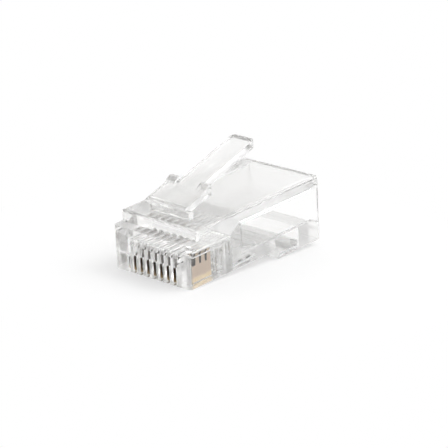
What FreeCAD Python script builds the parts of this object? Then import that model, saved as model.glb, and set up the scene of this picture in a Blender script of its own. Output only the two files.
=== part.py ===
"""Eight-position modular plug (8P8C): one clear moulded housing with its sprung latch,
eight blade contacts, and the two strain-relief anvils that are pressed in when it is crimped.

Frame: the plug lies along Y with its nose at -Y and its cable mouth at +Y. The latch side
is up (+Z) and the contact side is down. The origin is under the middle of the plug, on the
plane of the rear boss's underside. Lengths are in millimetres.
"""
import FreeCAD, Part
import math
import os

from FreeCAD import Vector

# Driving dimensions of the moulding
WIDTH = 11.68
LENGTH = 22.65
NOSE_HEIGHT = 6.6
BOSS_DROP = 1.4          # the rear boss stands this far below the nose's contact side
BOSS_LENGTH = 7.4
BOSS_RAMP = 0.25         # run of the sloped front of the boss
LEDGE_HEIGHT = 5.2       # height of the front ledge above the contact side
LEDGE_DEPTH = 1.5        # the upper block is set back this far from the nose face
CORNER_R = 0.6           # upright corners of the nose
BLOCK_CORNER_R = 0.35    # upright corners of the set-back upper block
EDGE_R = 0.3             # long edges and the rear rim

# Reference planes
HALF_WIDTH = WIDTH / 2
FRONT_Y = -LENGTH / 2
BACK_Y = LENGTH / 2
NOSE_Z = BOSS_DROP
TOP_Z = NOSE_Z + NOSE_HEIGHT
LEDGE_Z = NOSE_Z + LEDGE_HEIGHT
BLOCK_Y = FRONT_Y + LEDGE_DEPTH
BOSS_Y = BACK_Y - BOSS_LENGTH

# Working values that are no size of the plug
OVERSHOOT = 1.0          # cutters run this far past an open face
TOLERANCE = 1e-6         # for finding an edge or face by its place

# Contacts and the combs that hold them
CONTACTS = 8
PITCH = 1.02
BLADE_THICKNESS = 0.35
BLADE_LENGTH = 4.35
BLADE_BODY_HEIGHT = 2.0
BLADE_RECESS = 0.1       # blade edge above the nose's contact side before crimping
BLADE_NOSE_R = 0.4       # rounded lower front corner, where the jack's wires ride
BLADE_FRONT_GAP = 0.2    # from the nose face to the front edge of the blades
LIP_LENGTH = 0.4         # lower front end of a blade, which stands in the open notch
LIP_HEIGHT = 1.65
TINES = 3
TINE_PITCH = 0.93
TINE_ROOT = 0.66         # width of a tine where it leaves the body
TINE_TIP = 0.45
TINE_HEIGHT = 1.4
CRIMP_TRAVEL = 0.35      # from loaded to pressed home
SLOT_CLEARANCE = 0.02    # each side of a blade
SLOT_END_GAP = 0.01      # behind a blade
SLOT_HEAD_ROOM = 0.12    # above the tines of a blade that is pressed home
NOTCH_HEAD_ROOM = 0.05   # above the lip of a blade that is pressed home
FRONT_WALL = 0.55        # web over the notches, in front of the tines
RIB_THICKNESS = 0.85     # low rib behind each blade
RIB_HEIGHT = 2.1
POCKET_BACK = 6.4        # rear end of the moulding pockets over and behind the ribs
POCKET_FRONT_TOP = 3.6   # the pockets' ceiling slopes down to the rear
POCKET_BACK_TOP = 2.75

# Wire channels and the funnel behind them
CHANNEL_R = 0.45
CHANNEL_HEIGHT = 3.4     # channel centres above the contact side
CHANNEL_FRONT_WALL = 0.9
FUNNEL_FRONT = 7.8       # from the nose face to where the channels open into the funnel
FUNNEL_BACK = 9.4        # from the nose face to the full cable cavity

# Cable cavity
CAVITY_HALF_WIDTH = 4.6
CAVITY_FLOOR = 1.0       # above the contact side
CAVITY_CEILING = 5.12
CAVITY_CORNER_R = 0.5
MOUTH_FLARE = 0.4
MOUTH_DEPTH = 1.1

# Strain-relief windows and anvils
WINDOW_HALF_WIDTH = 4.1
WINDOW_GAP = 0.12
WIRE_WINDOW_FRONT = 7.9  # from the nose face
WIRE_WINDOW_LENGTH = 4.0
WIRE_ANVIL_RECESS = 0.15
WIRE_ANVIL_FRONT_TOP = 2.25
WIRE_ANVIL_BACK_TOP = 1.25
RAMP_TOP = 1.75          # conductor ramp on the crossbar between the windows
RAMP_RUN = 0.7
WEB_THICKNESS = 0.25
WEB_WIDTH = 0.8
WEB_INSET = 0.8          # break-off webs in from the ends of the bar
JACKET_WINDOW_FRONT = 15.35
JACKET_WINDOW_LENGTH = 4.25
JACKET_ANVIL_RECESS = 0.2
JACKET_ANVIL_TOP = 0.95
JACKET_ANVIL_HEEL = 0.2
JACKET_ANVIL_LENGTH = 2.9
JACKET_ANVIL_SLOPE = 0.35 # run of the anvil's rear face
ANVIL_HINGE_R = 0.28
ANVIL_HINGE_CLEARANCE = 0.02
ANVIL_STRAP = 0.36

# Latch: a tab that rises to the rear from a short upright web near the nose
LATCH_WIDTH = 6.05
LEVER_WIDTH = 3.45
LATCH_ANGLE = 16.8
LATCH_THICKNESS = 0.86
LATCH_FRONT = 2.6        # front edge of the tab, from the nose face
LATCH_FRONT_HEIGHT = 8.05
LATCH_END = 16.35        # tip of the lever, from the nose face
SHOULDER_FRONT = 5.8
SHOULDER_BACK = 7.2
SHOULDER_RISE = 0.28     # shoulders above the tab's upper face
SHOULDER_DEPTH = 1.35
SHOULDER_FLAT = 0.43     # flat top of the shoulders, ahead of their locking faces
LATCH_TIP_R = 0.5
WEB_FRONT = 3.35
HINGE_WEB = 0.7
HINGE_HEIGHT = 7.2       # axis of the living hinge above the contact side
HINGE_CLEARANCE = 0.02


def box(x0, x1, y0, y1, z0, z1):
    """A box between two opposite corners."""
    return Part.makeBox(x1 - x0, y1 - y0, z1 - z0, Vector(x0, y0, z0))


def nose_point(from_nose, above_contacts):
    """A point in the plug's plane of symmetry, measured from the nose face and contact side."""
    return Vector(0, FRONT_Y + from_nose, NOSE_Z + above_contacts)


def prism(points, half_width):
    """A side profile carried across the plug, the same to both sides."""
    shift = Vector(-half_width, 0, 0)
    outline = [point + shift for point in points]
    face = Part.Face(Part.makePolygon(outline + outline[:1]))
    return face.extrude(Vector(2 * half_width, 0, 0))


def cross_rod(centre, radius, half_width):
    """A round rod along X."""
    start = centre + Vector(-half_width, 0, 0)
    return Part.makeCylinder(radius, 2 * half_width, start, Vector(1, 0, 0))


def edges_where(shape, test):
    """The edges whose middle point and direction pass the test."""
    found = []
    for edge in shape.Edges:
        start, end = edge.Vertexes[0].Point, edge.Vertexes[-1].Point
        if test((start + end) * 0.5, end - start):
            found.append(edge)
    return found


def near(value, target):
    return abs(value - target) < TOLERANCE


def upright(direction):
    return near(abs(direction.x) + abs(direction.y), 0)


def lengthwise(direction):
    return near(abs(direction.x) + abs(direction.z), 0)


def contact_x(index):
    """Centre of one contact position, counted from -X."""
    return (index - (CONTACTS - 1) / 2) * PITCH


def outer_body():
    """The block: nose with its front ledge, and the deeper rear boss."""
    profile = [
        Vector(0, FRONT_Y, NOSE_Z),
        Vector(0, FRONT_Y, LEDGE_Z),
        Vector(0, BLOCK_Y, LEDGE_Z),
        Vector(0, BLOCK_Y, TOP_Z),
        Vector(0, BACK_Y, TOP_Z),
        Vector(0, BACK_Y, 0),
        Vector(0, BOSS_Y, 0),
        Vector(0, BOSS_Y - BOSS_RAMP, NOSE_Z),
    ]
    body = prism(profile, HALF_WIDTH)
    corners = edges_where(body, lambda mid, way: upright(way) and near(mid.y, FRONT_Y))
    body = body.makeFillet(CORNER_R, corners)
    corners = edges_where(body, lambda mid, way: upright(way) and near(mid.y, BLOCK_Y))
    body = body.makeFillet(BLOCK_CORNER_R, corners)
    rear = edges_where(body, lambda mid, way: upright(way) and near(mid.y, BACK_Y))
    long_edges = edges_where(body, lambda mid, way: lengthwise(way) and mid.z > LEDGE_Z + EDGE_R)
    boss_edges = edges_where(body, lambda mid, way: lengthwise(way) and mid.z < EDGE_R)
    return body.makeFillet(EDGE_R, rear + long_edges + boss_edges)


def rounded_section(y, half_width, floor, ceiling):
    """A rectangle with round corners across the plug, for the cavity's lofts."""
    radius = CAVITY_CORNER_R
    plate = box(-half_width, half_width, y, y + OVERSHOOT, floor, ceiling)
    plate = plate.makeFillet(radius, edges_where(plate, lambda mid, way: lengthwise(way)))
    for face in plate.Faces:
        if near(face.CenterOfMass.y, y):
            return face.OuterWire


def cable_cavity():
    """The space for the jacket: a straight passage with a flared mouth."""
    floor, ceiling = NOSE_Z + CAVITY_FLOOR, NOSE_Z + CAVITY_CEILING
    inner_y = BACK_Y - MOUTH_DEPTH
    passage = Part.makeLoft([
        rounded_section(FRONT_Y + FUNNEL_BACK, CAVITY_HALF_WIDTH, floor, ceiling),
        rounded_section(inner_y, CAVITY_HALF_WIDTH, floor, ceiling),
    ], True)
    mouth = Part.makeLoft([
        rounded_section(inner_y, CAVITY_HALF_WIDTH, floor, ceiling),
        rounded_section(BACK_Y, CAVITY_HALF_WIDTH + MOUTH_FLARE,
                        floor - MOUTH_FLARE, ceiling + MOUTH_FLARE),
    ], True)
    return passage.fuse(mouth)


def wire_space():
    """The funnel that gathers the conductors, and the eight channels ahead of it."""
    row_half = contact_x(CONTACTS - 1) + CHANNEL_R
    low, high = CHANNEL_HEIGHT - CHANNEL_R, CHANNEL_HEIGHT + CHANNEL_R
    row_y, full_y = FRONT_Y + FUNNEL_FRONT, FRONT_Y + FUNNEL_BACK
    narrow = [Vector(-row_half, row_y, NOSE_Z + low), Vector(row_half, row_y, NOSE_Z + low),
              Vector(row_half, row_y, NOSE_Z + high), Vector(-row_half, row_y, NOSE_Z + high)]
    wide_half = CAVITY_HALF_WIDTH - CAVITY_CORNER_R / 2
    floor = NOSE_Z + RAMP_TOP
    ceiling = NOSE_Z + CAVITY_CEILING
    wide = [Vector(-wide_half, full_y, floor), Vector(wide_half, full_y, floor),
            Vector(wide_half, full_y, ceiling), Vector(-wide_half, full_y, ceiling)]
    space = Part.makeLoft([Part.makePolygon(narrow + narrow[:1]),
                           Part.makePolygon(wide + wide[:1])], True)
    channel_y = FRONT_Y + CHANNEL_FRONT_WALL
    for index in range(CONTACTS):
        start = Vector(contact_x(index), channel_y, NOSE_Z + CHANNEL_HEIGHT)
        space = space.fuse(Part.makeCylinder(CHANNEL_R, row_y - channel_y, start, Vector(0, 1, 0)))
    return space


def contact_slots():
    """Eight slots, open to the contact side and, low down, to the front, with pockets behind."""
    blade_back = BLADE_FRONT_GAP + BLADE_LENGTH + SLOT_END_GAP
    blade_top = BLADE_RECESS + BLADE_BODY_HEIGHT + TINE_HEIGHT
    top = blade_top + CRIMP_TRAVEL + SLOT_HEAD_ROOM
    notch_top = BLADE_RECESS + LIP_HEIGHT + CRIMP_TRAVEL + NOTCH_HEAD_ROOM
    rib_back = blade_back + RIB_THICKNESS
    outline = [
        nose_point(-OVERSHOOT, -OVERSHOOT),
        nose_point(-OVERSHOOT, notch_top),
        nose_point(FRONT_WALL, notch_top),
        nose_point(FRONT_WALL, top),
        nose_point(blade_back, top),
        nose_point(blade_back, POCKET_FRONT_TOP),
        nose_point(POCKET_BACK, POCKET_BACK_TOP),
        nose_point(POCKET_BACK, -OVERSHOOT),
        nose_point(rib_back, -OVERSHOOT),
        nose_point(rib_back, RIB_HEIGHT),
        nose_point(blade_back, RIB_HEIGHT),
        nose_point(blade_back, -OVERSHOOT),
    ]
    slot = prism(outline, BLADE_THICKNESS / 2 + SLOT_CLEARANCE)
    slots = []
    for index in range(CONTACTS):
        slots.append(slot.translated(Vector(contact_x(index), 0, 0)))
    return slots


def windows():
    """The two openings in the contact side that the anvils are pressed through."""
    funnel_back = FRONT_Y + FUNNEL_BACK
    wire_front = FRONT_Y + WIRE_WINDOW_FRONT
    wire_back = wire_front + WIRE_WINDOW_LENGTH
    jacket_front = FRONT_Y + JACKET_WINDOW_FRONT
    jacket_back = jacket_front + JACKET_WINDOW_LENGTH
    half = WINDOW_HALF_WIDTH
    middle = NOSE_Z + CAVITY_CEILING - CAVITY_CORNER_R
    wire_top = NOSE_Z + CHANNEL_HEIGHT - CHANNEL_R
    return [
        box(-half, half, wire_front, funnel_back, -OVERSHOOT, wire_top),
        box(-half, half, funnel_back, wire_back, -OVERSHOOT, middle),
        box(-half, half, jacket_front, jacket_back, -OVERSHOOT, middle),
    ]


def conductor_ramp():
    """The slope on the crossbar that lifts the conductors towards the funnel."""
    crossbar = WIRE_WINDOW_FRONT + WIRE_WINDOW_LENGTH
    return prism([
        nose_point(crossbar, RAMP_TOP),
        nose_point(crossbar + RAMP_RUN, CAVITY_FLOOR),
        nose_point(crossbar, CAVITY_FLOOR),
    ], WINDOW_HALF_WIDTH)


def anvil_axis():
    """Where the jacket anvil turns, at the front of the rear crossbar."""
    back = JACKET_WINDOW_FRONT + JACKET_WINDOW_LENGTH
    height = -BOSS_DROP + JACKET_ANVIL_RECESS + ANVIL_HINGE_R
    return nose_point(back - ANVIL_HINGE_R, height)


def latch_axis():
    """The line that the latch bends about."""
    return nose_point(WEB_FRONT + HINGE_WEB / 2, HINGE_HEIGHT)


def latch_web():
    """The short upright web, rounded on top, that the latch bends on."""
    axis = latch_axis()
    half = HINGE_WEB / 2
    web = box(-LATCH_WIDTH / 2, LATCH_WIDTH / 2, axis.y - half, axis.y + half, LEDGE_Z, axis.z)
    return web.fuse(cross_rod(axis, half, LATCH_WIDTH / 2))


def housing():
    """The clear moulding without the parts that move."""
    body = outer_body()
    body = body.cut(cable_cavity())
    body = body.cut(wire_space())
    body = body.cut(Part.makeCompound(contact_slots()))
    body = body.cut(Part.makeCompound(windows()))
    hinge_r = ANVIL_HINGE_R + ANVIL_HINGE_CLEARANCE
    body = body.cut(cross_rod(anvil_axis(), hinge_r, WINDOW_HALF_WIDTH))
    return body.fuse([conductor_ramp(), latch_web()]).removeSplitter()


def blade_outline():
    """Corner points of a blade from its lower rear corner round to its rounded nose."""
    front, back = BLADE_FRONT_GAP, BLADE_FRONT_GAP + BLADE_LENGTH
    bottom = BLADE_RECESS
    shoulder = bottom + BLADE_BODY_HEIGHT
    lip_back = front + LIP_LENGTH
    lip_top = bottom + LIP_HEIGHT
    points = [nose_point(back, bottom)]
    taper = (TINE_ROOT - TINE_TIP) / 2
    for tine in range(TINES):
        root = back - tine * TINE_PITCH
        tip = root - (taper if tine else 0)
        if tine:
            points.append(nose_point(root, shoulder))
        points.append(nose_point(tip, shoulder + TINE_HEIGHT))
        points.append(nose_point(root - taper - TINE_TIP, shoulder + TINE_HEIGHT))
        points.append(nose_point(root - TINE_ROOT, shoulder))
    points.append(nose_point(lip_back, shoulder))
    points.append(nose_point(lip_back, lip_top))
    points.append(nose_point(front, lip_top))
    points.append(nose_point(front, bottom + BLADE_NOSE_R))
    return points


def contact(index):
    """One blade: a flat body with a rounded front lip and three tines that pierce the conductor."""
    front, bottom, radius = BLADE_FRONT_GAP, BLADE_RECESS, BLADE_NOSE_R
    slant = radius * (1 - math.sqrt(0.5))
    corner = nose_point(front + slant, bottom + slant)
    points = blade_outline()
    arc_end = nose_point(front + radius, bottom)
    edges = [Part.makeLine(a, b) for a, b in zip(points, points[1:])]
    edges.append(Part.Arc(points[-1], corner, arc_end).toShape())
    edges.append(Part.makeLine(arc_end, points[0]))
    blade = Part.Face(Part.Wire(edges)).extrude(Vector(BLADE_THICKNESS, 0, 0))
    return blade.translated(Vector(contact_x(index) - BLADE_THICKNESS / 2, 0, 0))


def wire_anvil():
    """The bar that is pressed up onto the conductors, with the break-off webs at its corners."""
    front = WIRE_WINDOW_FRONT + WINDOW_GAP
    back = WIRE_WINDOW_FRONT + WIRE_WINDOW_LENGTH - WINDOW_GAP
    half = WINDOW_HALF_WIDTH - WINDOW_GAP
    profile = [
        nose_point(front, WIRE_ANVIL_RECESS),
        nose_point(back, WIRE_ANVIL_RECESS),
        nose_point(back, WIRE_ANVIL_BACK_TOP),
        nose_point(front, WIRE_ANVIL_FRONT_TOP),
    ]
    bar = prism(profile, half)
    low = NOSE_Z + WIRE_ANVIL_RECESS
    for web_y in (FRONT_Y + front + WEB_INSET, FRONT_Y + back - WEB_INSET - WEB_WIDTH):
        web = box(-WINDOW_HALF_WIDTH, WINDOW_HALF_WIDTH, web_y, web_y + WEB_WIDTH, low, low + WEB_THICKNESS)
        bar = bar.fuse(web)
    return bar.removeSplitter()


def jacket_anvil():
    """The bar that swings up onto the cable jacket, on a strap with a round heel."""
    axis = anvil_axis()
    half = WINDOW_HALF_WIDTH - WINDOW_GAP
    front = JACKET_WINDOW_FRONT + WINDOW_GAP
    heel = front + JACKET_ANVIL_LENGTH
    low = -BOSS_DROP + JACKET_ANVIL_RECESS
    strap = low + ANVIL_STRAP
    hinge = axis.y - FRONT_Y
    profile = [
        nose_point(front, low),
        nose_point(hinge, low),
        nose_point(hinge, strap),
        nose_point(heel, strap),
        nose_point(heel - JACKET_ANVIL_SLOPE, JACKET_ANVIL_HEEL),
        nose_point(front, JACKET_ANVIL_TOP),
    ]
    bar = prism(profile, half)
    return bar.fuse(cross_rod(axis, ANVIL_HINGE_R, half)).removeSplitter()


def tab_height(from_nose):
    """Height of the tab's upper face above the contact side."""
    return LATCH_FRONT_HEIGHT + (from_nose - LATCH_FRONT) * math.tan(math.radians(LATCH_ANGLE))


def latch():
    """The tab, its two locking shoulders and the lever, cut out round the hinge web."""
    depth = LATCH_THICKNESS / math.cos(math.radians(LATCH_ANGLE))
    wide = prism([
        nose_point(LATCH_FRONT, tab_height(LATCH_FRONT)),
        nose_point(WEB_FRONT, tab_height(WEB_FRONT) - depth),
        nose_point(SHOULDER_BACK, tab_height(SHOULDER_BACK) - depth),
        nose_point(SHOULDER_BACK, tab_height(SHOULDER_BACK)),
    ], LATCH_WIDTH / 2)
    top = tab_height(SHOULDER_BACK) + SHOULDER_RISE
    shoulders = prism([
        nose_point(SHOULDER_FRONT, tab_height(SHOULDER_FRONT)),
        nose_point(SHOULDER_FRONT, tab_height(SHOULDER_FRONT) - depth),
        nose_point(SHOULDER_BACK, top - SHOULDER_DEPTH),
        nose_point(SHOULDER_BACK, top),
        nose_point(SHOULDER_BACK - SHOULDER_FLAT, top),
    ], LATCH_WIDTH / 2)
    gap = box(-LEVER_WIDTH / 2, LEVER_WIDTH / 2, FRONT_Y, BACK_Y, TOP_Z, TOP_Z + LENGTH)
    shoulders = shoulders.cut(gap)
    lever = prism([
        nose_point(SHOULDER_FRONT, tab_height(SHOULDER_FRONT)),
        nose_point(SHOULDER_FRONT, tab_height(SHOULDER_FRONT) - depth),
        nose_point(LATCH_END, tab_height(LATCH_END) - depth),
        nose_point(LATCH_END, tab_height(LATCH_END)),
    ], LEVER_WIDTH / 2)
    tip_y = FRONT_Y + LATCH_END
    tips = edges_where(lever, lambda mid, way: upright(way) and near(mid.y, tip_y))
    lever = lever.makeFillet(LATCH_TIP_R, tips)
    tab = wide.fuse([shoulders, lever]).removeSplitter()
    return tab.cut(cross_rod(latch_axis(), HINGE_WEB / 2 + HINGE_CLEARANCE, LATCH_WIDTH))


def write(name, shape):
    solids = shape.Solids
    if len(solids) != 1 or not shape.isValid():
        raise ValueError(name + " is not one valid solid")
    solids[0].exportStep("parts/" + name + ".step")


def main():
    os.makedirs("parts", exist_ok=True)
    write("housing", housing())
    write("latch", latch())
    write("wire_anvil", wire_anvil())
    write("jacket_anvil", jacket_anvil())
    for index in range(CONTACTS):
        write("contact_%d" % (index + 1), contact(index))


main()
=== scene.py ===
"""Clear eight-position modular plug: the moulded housing with its latch and crimp anvils,
the gold blade contacts, and a plain pale studio."""

import math

import bmesh
import bpy
from bpy.props import FloatProperty, FloatVectorProperty, IntProperty, PointerProperty
from bpy.types import Operator, Panel, PropertyGroup
from mathutils import Matrix, Vector


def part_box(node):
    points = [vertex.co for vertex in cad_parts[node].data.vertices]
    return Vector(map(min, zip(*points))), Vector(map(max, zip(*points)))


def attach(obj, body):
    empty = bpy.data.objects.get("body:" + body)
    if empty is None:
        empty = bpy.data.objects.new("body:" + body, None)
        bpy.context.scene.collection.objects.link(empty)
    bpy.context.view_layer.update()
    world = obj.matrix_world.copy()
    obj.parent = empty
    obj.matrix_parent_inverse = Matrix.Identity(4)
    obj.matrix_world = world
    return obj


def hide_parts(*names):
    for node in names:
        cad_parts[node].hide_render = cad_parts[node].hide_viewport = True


bl_info = {
    "name": "Clear modular plug",
    "version": (1, 0, 0),
    "blender": (4, 5, 0),
    "location": "3D View > Sidebar > Plug",
    "description": "Dresses the clear plug's mouldings and gold contacts and sets its studio",
    "category": "Add Mesh",
}

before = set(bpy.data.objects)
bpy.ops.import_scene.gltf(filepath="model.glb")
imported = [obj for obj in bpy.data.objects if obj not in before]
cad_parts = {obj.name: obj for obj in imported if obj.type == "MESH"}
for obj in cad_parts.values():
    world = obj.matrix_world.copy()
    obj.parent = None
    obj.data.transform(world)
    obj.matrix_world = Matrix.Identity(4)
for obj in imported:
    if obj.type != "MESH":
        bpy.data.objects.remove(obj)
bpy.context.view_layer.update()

MOULDINGS = ("housing", "latch", "wire_anvil", "jacket_anvil")
CONTACT_COUNT = sum(1 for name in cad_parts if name.startswith("contact_"))
PLACE_TOLERANCE = 1e-6             # for finding an edge by its place

# Rounding of the solids' edges
MERGE_DISTANCE = 1e-7
FLAT_ANGLE = math.radians(0.5)     # facets that meet below this angle are joined
ROUNDED_ANGLE = math.radians(35)   # edges that meet above this angle are rounded
SHADED_ANGLE = math.radians(40)    # edges above this angle are shaded sharp
ROUNDING_SEGMENTS = 2
FACE_WEIGHT = 100                  # large faces rule the shading of their edges

# Clear plastic: sink waves with finer ripples, and the faces on the latch side
RIPPLES_IN_WAVE = 12
RIPPLE_SHARE = 0.1
WAVE_STRENGTH = 0.03
WAVE_DEPTH = 0.00002
TINT_DRIFT = 0.995                 # palest to deepest tint
TINT_PATCH = 2                     # tint patches, in wave sizes
UPWARD_FROM = 0.6                  # share of a face's normal that points up
UPWARD_RANGE = 0.3
VEIL_ROUGHNESS = 0.6

# Contacts: the wandering upper limit of the gold band, and the marks of stamping
BLOTCH_SIZE = 0.0008
BAND_WANDER = 0.0003
BAND_BLUR = 0.0003
# Faces that point less sideways than this are stamped edges, which carry the painted shade
FLANK_FROM = 0.3                   # squared share of a face's normal that points sideways
FLANK_RANGE = 0.3
MARK_WIDTH = 0.00012
MARK_STRETCH = (1, 1, 0.12)
MARK_STRENGTH = 0.3
MARK_DEPTH = 0.000004
MARK_ROUGHNESS = 0.1

# Studio: how high the world's levels reach, from 0 at the horizon to 1 overhead
BACKDROP_TOP = 0.02
WALL_BOTTOM = 0.25
WALL_TOP = 0.5
PANEL_EDGE = 0.8
FLOOR_GAP = 0.00001                # under the plug's resting edges
CAMERA_CLIP = 0.01
# Each lamp's name, place, side and power
LAMPS = (
    ("key", (0.17, 0.26, 0.38), 0.34, 1.45),
    ("fill", (-0.30, 0.25, 0.30), 0.30, 0.15),
)
BOUNCE_KINDS = ("max_bounces", "diffuse_bounces", "glossy_bounces", "transmission_bounces")


def middle_x(node):
    """The middle of a solid across the plug."""
    low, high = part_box(node)
    return (low[0] + high[0]) / 2


def rest_edges():
    """The (y, z) places of the lower front edges of nose and boss, on which the plug lies."""
    points = [vertex.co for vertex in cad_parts["housing"].data.vertices]
    front = min(point.y for point in points)
    bottom = min(point.z for point in points)
    nose_bottom = min(point.z for point in points if point.y < front + PLACE_TOLERANCE)
    boss_front = min(point.y for point in points if point.z < bottom + PLACE_TOLERANCE)
    return (front, nose_bottom), (boss_front, bottom)


CONTACT_PITCH = middle_x("contact_2") - middle_x("contact_1")
CONTACT_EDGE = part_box("contact_1")[0][2]
NOSE_EDGE, BOSS_EDGE = rest_edges()


class MouldingSettings(PropertyGroup):
    """Sizes and finish of the clear plastic."""
    edge_radius: FloatProperty(
        name="Edge radius", description="Rounding of the moulded edges",
        default=0.00006, unit="LENGTH", precision=5)
    tint: FloatVectorProperty(
        name="Tint", description="Colour of the clear plastic",
        default=(1.0, 1.0, 0.997), subtype="COLOR", min=0, max=1)
    body_tint: FloatVectorProperty(
        name="Body tint", description="Colour that deep plastic tends towards",
        default=(0.80, 0.79, 0.74), subtype="COLOR", min=0, max=1)
    body_density: FloatProperty(
        name="Body density", description="Absorption for each metre of plastic",
        default=6.0, min=0)
    ior: FloatProperty(
        name="Index of refraction", description="Bending power of the plastic",
        default=1.585, min=1)
    roughness: FloatProperty(
        name="Roughness", description="Roughness of the polished sides",
        default=0.03, min=0, max=1)
    satin: FloatProperty(
        name="Satin", description="Roughness of the faces on the latch side",
        default=0.16, min=0, max=1)
    haze: FloatProperty(
        name="Haze", description="Share of the light that every face scatters",
        default=0.008, min=0, max=1)
    veil: FloatProperty(
        name="Veil", description="Further share that the faces on the latch side scatter",
        default=0.14, min=0, max=1)
    veil_colour: FloatVectorProperty(
        name="Veil colour", description="Colour of the light that the plastic scatters",
        default=(0.84, 0.83, 0.81), subtype="COLOR", min=0, max=1)
    wave_size: FloatProperty(
        name="Wave size", description="Length of the sink waves in the faces",
        default=0.0035, unit="LENGTH", precision=4)


class ContactSettings(PropertyGroup):
    """Sizes and finish of the blade contacts."""
    edge_radius: FloatProperty(
        name="Edge radius", description="Rounding of the stamped edges",
        default=0.00004, unit="LENGTH", precision=5)
    pitch: FloatProperty(
        name="Pitch", description="Distance from one blade to the next",
        default=CONTACT_PITCH, unit="LENGTH", precision=5)
    gold: FloatVectorProperty(
        name="Gold", description="Colour of the plated metal",
        default=(0.80, 0.66, 0.44), subtype="COLOR", min=0, max=1)
    bronze: FloatVectorProperty(
        name="Bronze", description="Colour of the thinly plated sides over the contact edge",
        default=(0.62, 0.50, 0.40), subtype="COLOR", min=0, max=1)
    # Painted shade: the near-black of these bare stamped edges stands for the shade in the slots
    # and in the gaps between the tines
    edge: FloatVectorProperty(
        name="Edge", description="Colour of the bare stamped edges",
        default=(0.02, 0.014, 0.008), subtype="COLOR", min=0, max=1)
    # Painted shade: the stamped edges in the gold band are painted gold-brown as the shade in the
    # slots
    shaded_edge_gold: FloatVectorProperty(
        name="Worn gold", description="Colour of the plating on the stamped edges",
        default=(0.34, 0.24, 0.11), subtype="COLOR", min=0, max=1)
    plated_height: FloatProperty(
        name="Plated height", description="Height of the gold band over the contact edge",
        default=0.0005, unit="LENGTH", precision=5)
    roughness: FloatProperty(
        name="Roughness", description="Roughness of the plating",
        default=0.28, min=0, max=1)


class StageSettings(PropertyGroup):
    """Floor, light and camera."""
    aim: FloatVectorProperty(
        name="Aim", description="Point that the camera looks at",
        default=(0.0011, -0.00023, 0.00464), subtype="TRANSLATION", unit="LENGTH", precision=5)
    distance: FloatProperty(
        name="Distance", description="Camera distance from the aim point",
        default=0.2188, unit="LENGTH", precision=4)
    azimuth: FloatProperty(
        name="Azimuth", description="Camera turn about the vertical from straight in front",
        default=math.radians(42.725), unit="ROTATION")
    elevation: FloatProperty(
        name="Elevation", description="Camera height angle",
        default=math.radians(21.409), unit="ROTATION")
    roll: FloatProperty(
        name="Roll", description="Camera turn about its own axis",
        default=math.radians(-2.834), unit="ROTATION")
    lens: FloatProperty(
        name="Lens", description="Focal length in millimetres on a 36 mm sensor",
        default=152.66, min=1)
    floor_colour: FloatVectorProperty(
        name="Floor colour", description="Colour of the pale floor",
        default=(0.93, 0.93, 0.93), subtype="COLOR", min=0, max=1)
    floor_size: FloatProperty(
        name="Floor size", description="Half the width of the floor",
        default=0.9, unit="LENGTH")
    shadow_reach: FloatProperty(
        name="Shadow reach", description="Distance out to which the floor's shadow is deepest",
        default=0.010, unit="LENGTH", precision=4)
    shadow_fade: FloatProperty(
        name="Shadow fade", description="Width over which the shadow fades into plain white",
        default=0.022, unit="LENGTH", precision=4)
    shadow_white: FloatProperty(
        name="Shadow white", description="Share of plain white in the floor beside the plug",
        default=0.5, min=0, max=1)
    light: FloatProperty(
        name="Light", description="Level of the soft light from all round",
        default=0.66, min=0)
    walls: FloatProperty(
        name="Walls", description="Level of the walls between the backdrop and the overhead panel",
        default=0.72, min=0)
    lamps: FloatProperty(
        name="Lamps", description="Level of the two soft lamps",
        default=1.0, min=0)
    light_turns: IntProperty(
        name="Light turns", description="How often light may turn inside the clear plastic",
        default=64, min=4)


class Socket:
    """A node's output that Python's arithmetic can be written on."""

    def __init__(self, shader, output):
        self.shader = shader
        self.output = output

    def _math(self, operation, *values):
        return self.shader.add("ShaderNodeMath", {"operation": operation}, dict(enumerate(values)))

    def __add__(self, other):
        return self._math("ADD", self, other)

    def __radd__(self, other):
        return self._math("ADD", other, self)

    def __sub__(self, other):
        return self._math("SUBTRACT", self, other)

    def __rsub__(self, other):
        return self._math("SUBTRACT", other, self)

    def __mul__(self, other):
        return self._math("MULTIPLY", self, other)

    def __rmul__(self, other):
        return self._math("MULTIPLY", other, self)

    def __truediv__(self, other):
        return self._math("DIVIDE", self, other)

    def __rtruediv__(self, other):
        return self._math("DIVIDE", other, self)

    def clamp(self):
        """The value held between 0 and 1."""
        return self.shader.add("ShaderNodeClamp", {}, {"Value": self})


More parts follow.
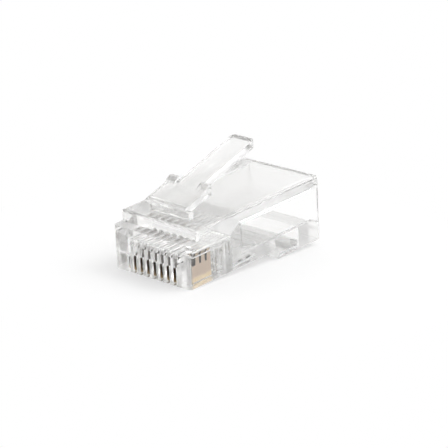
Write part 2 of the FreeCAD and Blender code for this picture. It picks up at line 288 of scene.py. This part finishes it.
class Shader:
    """A node tree under construction."""

    def __init__(self, owner):
        owner.use_nodes = True
        self.tree = owner.node_tree
        self.tree.nodes.clear()

    def add(self, kind, settings, inputs, output=0):
        """Adds a node with its settings and with the values or links of its inputs."""
        node = self.tree.nodes.new(kind)
        for name, value in settings.items():
            if name == "stops":
                self._ramp(node, value)
            else:
                setattr(node, name, value)
        for name, value in inputs.items():
            if isinstance(value, Socket):
                self.tree.links.new(value.output, node.inputs[name])
            else:
                node.inputs[name].default_value = value
        outputs = node.outputs
        return Socket(self, outputs[output]) if len(outputs) else node

    def _ramp(self, node, stops):
        """Sets a colour ramp's places and colours."""
        elements = node.color_ramp.elements
        while len(elements) > 1:
            elements.remove(elements[0])
        elements[0].position, elements[0].color = stops[0][0], (*stops[0][1], 1)
        for place, colour in stops[1:]:
            elements.new(place).color = (*colour, 1)

    def mix(self, factor, a, b):
        """Blends two colours."""
        return self.add("ShaderNodeMix", {"data_type": "RGBA"}, {0: factor, 6: a, 7: b}, output=2)

    def place(self):
        """The point on the surface, in the plug's frame."""
        return self.add("ShaderNodeTexCoord", {}, {}, output="Object")

    def backdrop_ray(self):
        """One for the rays that show the white backdrop, nought for those that only light."""
        rays = self.tree.nodes.new("ShaderNodeLightPath")
        kinds = [Socket(self, rays.outputs[name])
                 for name in ("Is Camera Ray", "Is Glossy Ray", "Is Transmission Ray")]
        return (kinds[0] + kinds[1] + kinds[2]).clamp()

    def facing(self, axis):
        """How far the surface faces along an axis of the object, from -1 to 1."""
        normal = self.add("ShaderNodeTexCoord", {}, {}, output="Normal")
        return self.add("ShaderNodeSeparateXYZ", {}, {"Vector": normal}, output=axis)

    def noise(self, size, detail=2.0, roughness=0.5, stretch=(1, 1, 1)):
        """Noise whose features are about as large as size, in metres."""
        scaled = self.add("ShaderNodeMapping", {}, {
            "Vector": self.place(), "Scale": tuple(s / size for s in stretch)})
        return self.add("ShaderNodeTexNoise", {}, {
            "Vector": scaled, "Scale": 1.0, "Detail": detail, "Roughness": roughness}, output=0)


def rgba(colour):
    """An opaque colour."""
    return (*colour, 1)


def clear_plastic(settings):
    """Polished moulded plastic: faint sink waves, haze and a trace of colour in depth."""
    material = bpy.data.materials.new("clear_plastic")
    shader = Shader(material)
    broad = shader.noise(settings.wave_size, detail=1.0)
    fine = shader.noise(settings.wave_size / RIPPLES_IN_WAVE, detail=3.0, roughness=0.6)
    bump = shader.add("ShaderNodeBump", {}, {
        "Height": broad * (1 - RIPPLE_SHARE) + fine * RIPPLE_SHARE,
        "Strength": WAVE_STRENGTH,
        "Distance": WAVE_DEPTH,
    })
    upward = ((shader.facing("Z") - UPWARD_FROM) / UPWARD_RANGE).clamp()
    pale = shader.mix(shader.noise(settings.wave_size * TINT_PATCH), rgba(settings.tint),
                      rgba([part * TINT_DRIFT for part in settings.tint]))
    surface = shader.add("ShaderNodeBsdfPrincipled", {"distribution": "MULTI_GGX"}, {
        "Base Color": pale,
        "Roughness": fine * settings.roughness + upward * settings.satin,
        "IOR": settings.ior,
        "Transmission Weight": 1.0,
        "Normal": bump,
    })
    veil = shader.add("ShaderNodeBsdfPrincipled", {}, {
        "Base Color": rgba(settings.veil_colour),
        "Roughness": VEIL_ROUGHNESS,
        "IOR": settings.ior,
    })
    clouded = shader.add("ShaderNodeMixShader", {}, {
        0: upward * settings.veil + settings.haze, 1: surface, 2: veil})
    body = shader.add("ShaderNodeVolumeAbsorption", {}, {
        "Color": rgba(settings.body_tint), "Density": settings.body_density})
    shader.add("ShaderNodeOutputMaterial", {}, {"Surface": clouded, "Volume": body})
    return material


def gold_plate(settings):
    """A gold band along the contact edge, bronze sides over it, and stamped edges painted dark as
    shade.
    """
    material = bpy.data.materials.new("contact_gold")
    shader = Shader(material)
    height = shader.add("ShaderNodeSeparateXYZ", {}, {"Vector": shader.place()}, output="Z")
    blotch = shader.noise(BLOTCH_SIZE, detail=3.0)
    above = height - CONTACT_EDGE - settings.plated_height + (blotch - 0.5) * BAND_WANDER
    bare = (above / BAND_BLUR + 0.5).clamp()
    sideways = shader.facing("X")
    flank = ((sideways * sideways - FLANK_FROM) / FLANK_RANGE).clamp()
    marks = shader.noise(MARK_WIDTH, detail=2.0, stretch=MARK_STRETCH)
    # Painted shade: faces that are not sideways flanks take the dark edge colours, standing for
    # the shade in the slots and between the tines
    upper = shader.mix(flank, rgba(settings.edge), rgba(settings.bronze))
    # Painted shade: gold-brown on the edges within the band, full gold on the flanks
    band = shader.mix(flank, rgba(settings.shaded_edge_gold), rgba(settings.gold))
    bump = shader.add("ShaderNodeBump", {}, {
        "Height": marks, "Strength": MARK_STRENGTH, "Distance": MARK_DEPTH})
    surface = shader.add("ShaderNodeBsdfPrincipled", {}, {
        "Base Color": shader.mix(bare, band, upper),
        "Metallic": 1.0,
        "Roughness": marks * MARK_ROUGHNESS + settings.roughness,
        "Normal": bump,
    })
    shader.add("ShaderNodeOutputMaterial", {}, {"Surface": surface})
    return material


def finished(name, mesh, material):
    """Puts a mesh in the scene as one piece with one material."""
    mesh.materials.clear()
    mesh.materials.append(material)
    piece = bpy.data.objects.new(name, mesh)
    bpy.context.scene.collection.objects.link(piece)
    return piece


def rounded_copy(node, name, radius):
    """A copy of a solid with joined faces and its sharp edges rounded."""
    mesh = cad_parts[node].data.copy()
    mesh.name = name
    shape = bmesh.new()
    shape.from_mesh(mesh)
    bmesh.ops.remove_doubles(shape, verts=shape.verts, dist=MERGE_DISTANCE)
    bmesh.ops.dissolve_limit(shape, angle_limit=FLAT_ANGLE,
                             verts=shape.verts, edges=shape.edges)
    sharp = [edge for edge in shape.edges
             if len(edge.link_faces) == 2 and abs(edge.calc_face_angle()) > ROUNDED_ANGLE]
    bmesh.ops.bevel(shape, geom=sharp, offset=radius, segments=ROUNDING_SEGMENTS, profile=0.5,
                    affect="EDGES", clamp_overlap=True)
    bmesh.ops.recalc_face_normals(shape, faces=shape.faces)
    shape.to_mesh(mesh)
    shape.free()
    mesh.shade_smooth()
    mesh.set_sharp_from_angle(angle=SHADED_ANGLE)
    return flattened(mesh)


def flattened(mesh):
    """The mesh with its flat faces shaded flat and its roundings shaded round."""
    holder = bpy.data.objects.new("holder", mesh)
    bpy.context.scene.collection.objects.link(holder)
    weighted = holder.modifiers.new("weighted", "WEIGHTED_NORMAL")
    weighted.keep_sharp = True
    weighted.weight = FACE_WEIGHT
    ready = converted(holder)
    ready.name = mesh.name
    return ready


def converted(holder):
    """The mesh that an object's modifiers make; the object is removed."""
    bpy.context.view_layer.update()
    ready = holder.evaluated_get(bpy.context.evaluated_depsgraph_get())
    mesh = bpy.data.meshes.new_from_object(ready)
    bpy.data.objects.remove(holder)
    return mesh


class PLUG_OT_mouldings(Operator):
    """Rounds and dresses the housing, the latch and the two anvils in clear plastic"""
    bl_idname = "plug.mouldings"
    bl_label = "Clear mouldings"

    def execute(self, context):
        settings = context.scene.plug_mouldings
        material = clear_plastic(settings)
        for node in MOULDINGS:
            name = "clear_" + node
            piece = finished(name, rounded_copy(node, name, settings.edge_radius), material)
            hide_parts(node)
            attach(piece, node)
        return {"FINISHED"}


def blade_row_tree(material):
    """Geometry nodes that carry one blade to its place in the row."""
    tree = bpy.data.node_groups.new("blade_row", "GeometryNodeTree")
    for name, way, kind in (
            ("Blade", "INPUT", "NodeSocketGeometry"),
            ("Pitch", "INPUT", "NodeSocketFloat"),
            ("Place", "INPUT", "NodeSocketInt"),
            ("Row", "OUTPUT", "NodeSocketGeometry")):
        tree.interface.new_socket(name, in_out=way, socket_type=kind)
    nodes, links = tree.nodes, tree.links
    entry = nodes.new("NodeGroupInput")
    point = nodes.new("GeometryNodePoints")
    step = nodes.new("ShaderNodeMath")
    step.operation = "MULTIPLY"
    spot = nodes.new("ShaderNodeCombineXYZ")
    copies = nodes.new("GeometryNodeInstanceOnPoints")
    real = nodes.new("GeometryNodeRealizeInstances")
    paint = nodes.new("GeometryNodeSetMaterial")
    paint.inputs["Material"].default_value = material
    leave = nodes.new("NodeGroupOutput")
    links.new(entry.outputs["Pitch"], step.inputs[0])
    links.new(entry.outputs["Place"], step.inputs[1])
    links.new(step.outputs[0], spot.inputs["X"])
    links.new(spot.outputs[0], point.inputs["Position"])
    links.new(point.outputs[0], copies.inputs["Points"])
    links.new(entry.outputs["Blade"], copies.inputs["Instance"])
    links.new(copies.outputs[0], real.inputs[0])
    links.new(real.outputs[0], paint.inputs["Geometry"])
    links.new(paint.outputs[0], leave.inputs["Row"])
    return tree


class PLUG_OT_contacts(Operator):
    """Rounds one blade and sets a copy of it in each slot of the row"""
    bl_idname = "plug.contacts"
    bl_label = "Gold contacts"

    def execute(self, context):
        settings = context.scene.plug_contacts
        material = gold_plate(settings)
        tree = blade_row_tree(material)
        inputs = {item.name: item.identifier for item in tree.interface.items_tree
                  if item.in_out == "INPUT"}
        blade = rounded_copy("contact_1", "blade", settings.edge_radius)
        for place in range(CONTACT_COUNT):
            node = "contact_%d" % (place + 1)
            maker = finished("blade_maker", blade.copy(), material)
            row = maker.modifiers.new("row", "NODES")
            row.node_group = tree
            row[inputs["Pitch"]] = settings.pitch
            row[inputs["Place"]] = place
            piece = finished("gold_" + node, converted(maker), material)
            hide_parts(node)
            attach(piece, node)
        bpy.data.meshes.remove(blade)
        return {"FINISHED"}


def floor_height(y):
    """Height of the plane on which the plug lies, with its nose a little down."""
    slope = (BOSS_EDGE[1] - NOSE_EDGE[1]) / (BOSS_EDGE[0] - NOSE_EDGE[0])
    return NOSE_EDGE[1] + (y - NOSE_EDGE[0]) * slope - FLOOR_GAP


def studio_world(settings):
    """A white backdrop all round, dimmer walls over it and a bright panel overhead."""
    world = bpy.data.worlds.new("studio")
    bpy.context.scene.world = world
    shader = Shader(world)
    backdrop_ray = shader.backdrop_ray()
    direction = shader.add("ShaderNodeTexCoord", {}, {}, output="Generated")
    height = shader.add("ShaderNodeSeparateXYZ", {}, {"Vector": direction}, output="Z")
    white, wall = (1, 1, 1), (settings.walls,) * 3
    studio = shader.add("ShaderNodeValToRGB", {"stops": [
        (BACKDROP_TOP, white), (WALL_BOTTOM, wall), (WALL_TOP, wall), (PANEL_EDGE, white),
    ]}, {"Fac": height})
    soft_light = rgba([settings.light] * 3)
    glow = shader.add("ShaderNodeBackground", {}, {
        "Color": shader.mix(backdrop_ray, soft_light, studio), "Strength": 1.0})
    shader.add("ShaderNodeOutputWorld", {}, {"Surface": glow})


class PLUG_OT_stage(Operator):
    """Lays the pale floor, sets the soft light and places the camera"""
    bl_idname = "plug.stage"
    bl_label = "Studio"

    def execute(self, context):
        settings = context.scene.plug_stage
        self.camera(context, settings)
        self.floor(settings)
        studio_world(settings)
        self.lamps(context, settings)
        context.scene.view_settings.view_transform = "Standard"
        for kind in BOUNCE_KINDS:
            setattr(context.scene.cycles, kind, settings.light_turns)
        return {"FINISHED"}

    def camera(self, context, settings):
        """Places the camera on its arc around the aim point."""
        turn, rise, roll = settings.azimuth, settings.elevation, settings.roll
        level = math.cos(rise)
        back = Vector((math.sin(turn) * level, -math.cos(turn) * level, math.sin(rise)))
        right = Vector((0, 0, 1)).cross(back).normalized()
        up = back.cross(right)
        lean = Matrix.Rotation(roll, 3, back)
        right, up = lean @ right, lean @ up
        place = Vector(settings.aim) + back * settings.distance
        data = bpy.data.cameras.new("camera")
        data.lens = settings.lens
        data.clip_start = CAMERA_CLIP
        camera = bpy.data.objects.new("camera", data)
        camera.matrix_world = Matrix((
            (right.x, up.x, back.x, place.x),
            (right.y, up.y, back.y, place.y),
            (right.z, up.z, back.z, place.z),
            (0, 0, 0, 1)))
        context.scene.collection.objects.link(camera)
        context.scene.camera = camera

    def floor(self, settings):
        """Lays a pale floor that keeps the plug's shadow and turns plain white farther out."""
        size = settings.floor_size
        corners = [(x, y, floor_height(y))
                   for x, y in ((-size, -size), (size, -size), (size, size), (-size, size))]
        mesh = bpy.data.meshes.new("floor")
        mesh.from_pydata(corners, [], [(0, 1, 2, 3)])
        material = bpy.data.materials.new("pale_floor")
        shader = Shader(material)
        backdrop_ray = shader.backdrop_ray()
        paint = shader.add("ShaderNodeBsdfDiffuse", {}, {"Color": rgba(settings.floor_colour)})
        white = shader.add("ShaderNodeEmission", {}, {"Strength": 1.0})
        distance = shader.add("ShaderNodeVectorMath", {"operation": "LENGTH"}, {
            0: shader.place()}, output="Value")
        least = settings.shadow_white
        fade = ((distance - settings.shadow_reach) / settings.shadow_fade).clamp()
        whiteness = (fade * (1 - least) + least) * backdrop_ray
        surface = shader.add("ShaderNodeMixShader", {}, {0: whiteness, 1: paint, 2: white})
        shader.add("ShaderNodeOutputMaterial", {}, {"Surface": surface})
        finished("floor", mesh, material)

    def lamps(self, context, settings):
        """Hangs the square lamps, each turned to the plug."""
        for name, place, size, power in LAMPS:
            data = bpy.data.lights.new(name, "AREA")
            data.shape = "SQUARE"
            data.size = size
            data.energy = power * settings.lamps
            lamp = bpy.data.objects.new(name, data)
            lamp.location = place
            lamp.rotation_euler = Vector(place).to_track_quat("Z", "Y").to_euler()
            context.scene.collection.objects.link(lamp)


class PLUG_PT_panel(Panel):
    """The plug's pieces and their sizes"""
    bl_idname = "PLUG_PT_panel"
    bl_label = "Plug"
    bl_space_type = "VIEW_3D"
    bl_region_type = "UI"
    bl_category = "Plug"

    def draw(self, context):
        for title, group, operator in (
                ("Mouldings", context.scene.plug_mouldings, PLUG_OT_mouldings),
                ("Contacts", context.scene.plug_contacts, PLUG_OT_contacts),
                ("Studio", context.scene.plug_stage, PLUG_OT_stage)):
            column = self.layout.column()
            column.label(text=title)
            for name in group.__annotations__:
                column.prop(group, name)
            column.operator(operator.bl_idname)


CLASSES = (MouldingSettings, ContactSettings, StageSettings,
           PLUG_OT_mouldings, PLUG_OT_contacts, PLUG_OT_stage, PLUG_PT_panel)


def register():
    """Makes the settings, the operators and the panel known to Blender."""
    for item in CLASSES:
        bpy.utils.register_class(item)
    bpy.types.Scene.plug_mouldings = PointerProperty(type=MouldingSettings)
    bpy.types.Scene.plug_contacts = PointerProperty(type=ContactSettings)
    bpy.types.Scene.plug_stage = PointerProperty(type=StageSettings)


def unregister():
    """Takes back what register did."""
    del bpy.types.Scene.plug_stage
    del bpy.types.Scene.plug_contacts
    del bpy.types.Scene.plug_mouldings
    for item in reversed(CLASSES):
        bpy.utils.unregister_class(item)


def main():
    """Builds the stage and the plug."""
    register()
    bpy.ops.plug.stage()
    bpy.ops.plug.mouldings()
    bpy.ops.plug.contacts()
    bpy.context.view_layer.update()


if __name__ == "__main__":
    main()
